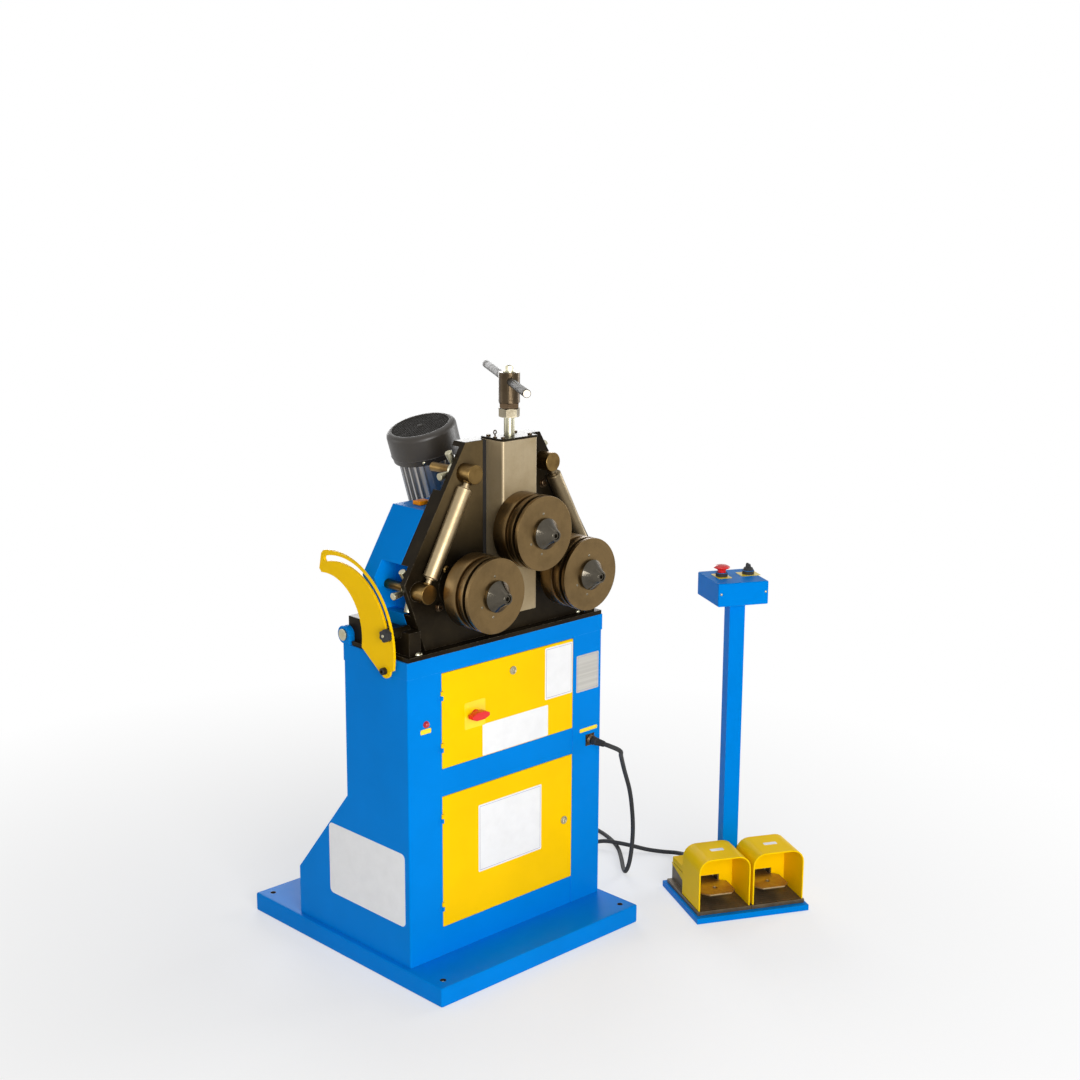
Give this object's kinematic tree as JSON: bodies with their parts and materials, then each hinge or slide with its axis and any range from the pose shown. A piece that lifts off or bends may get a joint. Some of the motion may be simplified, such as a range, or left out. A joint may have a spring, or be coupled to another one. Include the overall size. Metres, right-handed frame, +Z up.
{
  "type": "ring roller",
  "caption": "Three-roll ring roller on a sheet steel cabinet with a tilting head, screw-pressed top roll, guide rollers and a foot-pedal console on a cable.",
  "frame": {"origin": "middle of the base plate's underside, on the floor", "axes": "+Z up; the rolls and doors face -Y; the pedal console stands at +X"},
  "size_m": [1.1006, 0.9365, 1.3611],
  "materials": {
    "blue_paint": "satin",
    "yellow_paint": "satin",
    "black_paint": "satin",
    "oiled_steel": "turned, oiled",
    "zinc": "zinc plated",
    "bronze": "turned, oiled",
    "dark_steel": "blackened",
    "black_plastic": "matte",
    "red_plastic": "gloss",
    "cable_rubber": "matte",
    "motor_silver": "cast",
    "yellow_plastic": "gloss"
  },
  "bodies": {
    "root": {"base_plate": "blue_paint", "cabinet": "blue_paint", "hinge_pin": "zinc", "tilt_quadrant": "yellow_paint", "quadrant_bolt": "black_plastic", "power_lamp": "red_plastic", "cable_socket": "zinc", "cable_plug": "black_plastic", "control_cable": "cable_rubber", "control_panel": "zinc", "console_stand": "blue_paint", "console_box": "blue_paint", "left_pedal_base": "black_paint", "right_pedal_base": "black_paint", "left_pedal_guard": "yellow_plastic", "right_pedal_guard": "yellow_plastic"},
    "upper_door": {"upper_door": "yellow_paint"},
    "upper_lock": {"upper_lock": "zinc"},
    "main_switch": {"switch_handle": "red_plastic"},
    "lower_door": {"lower_door": "yellow_paint"},
    "lower_lock": {"lower_lock": "zinc"},
    "head": {"head_base": "black_paint", "front_frame": "black_paint", "rear_plate": "black_paint", "slide_housing": "oiled_steel", "housing_cap": "black_paint", "rear_cover": "blue_paint", "gearbox": "black_paint", "motor_body": "motor_silver", "motor_cowl": "black_plastic"},
    "motor_fan": {"motor_fan": "black_plastic"},
    "pinion": {"drive_pinion": "dark_steel"},
    "left_roll_set": {"left_drive_shaft": "dark_steel", "left_roll": "oiled_steel", "left_roll_nut": "dark_steel"},
    "right_roll_set": {"right_drive_shaft": "dark_steel", "right_roll": "oiled_steel", "right_roll_nut": "dark_steel"},
    "carriage": {"slide_block": "dark_steel"},
    "top_roll_set": {"top_shaft": "dark_steel", "top_roll": "oiled_steel", "top_roll_nut": "dark_steel"},
    "screw": {"press_screw": "zinc", "handle_hub": "bronze", "tee_bar": "zinc"},
    "left_guide": {"left_upper_stud": "bronze", "left_lower_stud": "bronze"},
    "left_guide_drum": {"left_guide_roller": "oiled_steel"},
    "right_guide": {"right_upper_stud": "bronze", "right_lower_stud": "bronze"},
    "right_guide_drum": {"right_guide_roller": "oiled_steel"},
    "left_upper_nut": {"left_upper_capstan": "zinc"},
    "left_lower_nut": {"left_lower_capstan": "zinc"},
    "right_upper_nut": {"right_upper_capstan": "zinc"},
    "right_lower_nut": {"right_lower_capstan": "zinc"},
    "clamp_knob": {"tilt_clamp_knob": "black_plastic"},
    "estop": {"estop_button": "red_plastic"},
    "selector": {"selector_knob": "black_plastic"},
    "left_treadle": {"left_pedal": "oiled_steel"},
    "right_treadle": {"right_pedal": "oiled_steel"}
  },
  "joints": [
    {"name": "upper_door_swing", "type": "hinge", "parent": "root", "child": "upper_door", "pos_m": [-0.2046, -0.2285, 0.6], "axis": [0, 0, -1], "range_deg": [0, 110]},
    {"name": "upper_lock_turn", "type": "hinge", "parent": "upper_door", "child": "upper_lock", "pos_m": [0.009, -0.225, 0.672], "axis": [0, 1, 0], "range_deg": [0, 90]},
    {"name": "main_switch_turn", "type": "hinge", "parent": "upper_door", "child": "main_switch", "pos_m": [-0.107, -0.225, 0.595], "axis": [0, -1, 0], "range_deg": [0, 90]},
    {"name": "lower_door_swing", "type": "hinge", "parent": "root", "child": "lower_door", "pos_m": [-0.2046, -0.2285, 0.27], "axis": [0, 0, -1], "range_deg": [0, 110]},
    {"name": "lower_lock_turn", "type": "hinge", "parent": "lower_door", "child": "lower_lock", "pos_m": [0.176, -0.225, 0.266], "axis": [0, -1, 0], "range_deg": [0, 90]},
    {"name": "head_tilt", "type": "hinge", "parent": "root", "child": "head", "pos_m": [0, -0.008, 0.77], "axis": [-1, 0, 0], "range_deg": [0, 90]},
    {"name": "clamp_knob_turn", "type": "hinge", "parent": "head", "child": "clamp_knob", "pos_m": [-0.304, -0.17722, 0.80597], "axis": [-1, 0, 0], "range_deg": [0, 360]},
    {"name": "left_roll_spin", "type": "hinge", "parent": "head", "child": "left_roll_set", "pos_m": [-0.143, -0.2597, 0.892], "axis": [0, -1, 0], "continuous": true},
    {"name": "right_roll_spin", "type": "hinge", "parent": "head", "child": "right_roll_set", "pos_m": [0.143, -0.2597, 0.892], "axis": [0, -1, 0], "continuous": true},
    {"name": "pinion_spin", "type": "hinge", "parent": "head", "child": "pinion", "pos_m": [0, -0.098, 0.892], "axis": [0, -1, 0], "continuous": true},
    {"name": "fan_spin", "type": "hinge", "parent": "head", "child": "motor_fan", "pos_m": [-0.057, 0.01, 1.211], "axis": [-0.2924, 0, 0.9563], "continuous": true},
    {"name": "screw_turn", "type": "hinge", "parent": "carriage", "child": "screw", "pos_m": [0, -0.223, 1.062], "axis": [0, 0, -1], "range_deg": [-2879, 2159]},
    {"name": "top_roll_slide", "type": "slide", "parent": "head", "child": "carriage", "axis": [0, 0, -1], "range_m": [-0.04, 0.03]},
    {"name": "top_roll_spin", "type": "hinge", "parent": "carriage", "child": "top_roll_set", "pos_m": [0, -0.2597, 1.007], "axis": [0, -1, 0], "continuous": true},
    {"name": "left_guide_slide", "type": "slide", "parent": "head", "child": "left_guide", "axis": [0, -1, 0], "range_m": [0, 0.012]},
    {"name": "left_guide_spin", "type": "hinge", "parent": "left_guide", "child": "left_guide_drum", "pos_m": [-0.1835, -0.226, 1.017], "axis": [0.4816, 0, 0.8764], "continuous": true},
    {"name": "left_upper_nut_turn", "type": "hinge", "parent": "head", "child": "left_upper_nut", "pos_m": [-0.117, -0.1893, 1.138], "axis": [0, -1, 0], "range_deg": [0, 1439]},
    {"name": "left_lower_nut_turn", "type": "hinge", "parent": "head", "child": "left_lower_nut", "pos_m": [-0.25, -0.1893, 0.896], "axis": [0, -1, 0], "range_deg": [0, 1439]},
    {"name": "right_guide_slide", "type": "slide", "parent": "head", "child": "right_guide", "axis": [0, -1, 0], "range_m": [0, 0.012]},
    {"name": "right_guide_spin", "type": "hinge", "parent": "right_guide", "child": "right_guide_drum", "pos_m": [0.1835, -0.226, 1.017], "axis": [-0.4816, 0, 0.8764], "continuous": true},
    {"name": "right_upper_nut_turn", "type": "hinge", "parent": "head", "child": "right_upper_nut", "pos_m": [0.117, -0.1893, 1.138], "axis": [0, -1, 0], "range_deg": [0, 1439]},
    {"name": "right_lower_nut_turn", "type": "hinge", "parent": "head", "child": "right_lower_nut", "pos_m": [0.25, -0.1893, 0.896], "axis": [0, -1, 0], "range_deg": [0, 1439]},
    {"name": "estop_press", "type": "slide", "parent": "root", "child": "estop", "axis": [0, 0, -1], "range_m": [0, 0.004], "stiffness_N_per_m": 500, "springref_m": -0.004},
    {"name": "selector_turn", "type": "hinge", "parent": "root", "child": "selector", "pos_m": [0.63782, -0.3907, 0.82], "axis": [0, 0, -1], "range_deg": [-45, 45]},
    {"name": "left_pedal_press", "type": "hinge", "parent": "root", "child": "left_treadle", "pos_m": [0.54449, -0.35451, 0.052], "axis": [0.887, -0.4617, 0], "range_deg": [0, 12], "stiffness_Nm_per_rad": 5, "springref_deg": -8.59},
    {"name": "right_pedal_press", "type": "hinge", "parent": "root", "child": "right_treadle", "pos_m": [0.66956, -0.41962, 0.052], "axis": [0.887, -0.4617, 0], "range_deg": [0, 12], "stiffness_Nm_per_rad": 5, "springref_deg": -8.59}
  ],
  "couplings": [
    {"joint": "right_roll_spin", "follows": "left_roll_spin", "ratio": 1},
    {"joint": "pinion_spin", "follows": "left_roll_spin", "ratio": -3},
    {"joint": "fan_spin", "follows": "left_roll_spin", "ratio": 90},
    {"joint": "top_roll_slide", "follows": "screw_turn", "m_per_rad": 0.00079577},
    {"joint": "left_guide_slide", "follows": "left_upper_nut_turn", "m_per_rad": 0.00047746},
    {"joint": "left_lower_nut_turn", "follows": "left_upper_nut_turn", "ratio": 1},
    {"joint": "right_guide_slide", "follows": "right_upper_nut_turn", "m_per_rad": 0.00047746},
    {"joint": "right_lower_nut_turn", "follows": "right_upper_nut_turn", "ratio": 1}
  ]
}
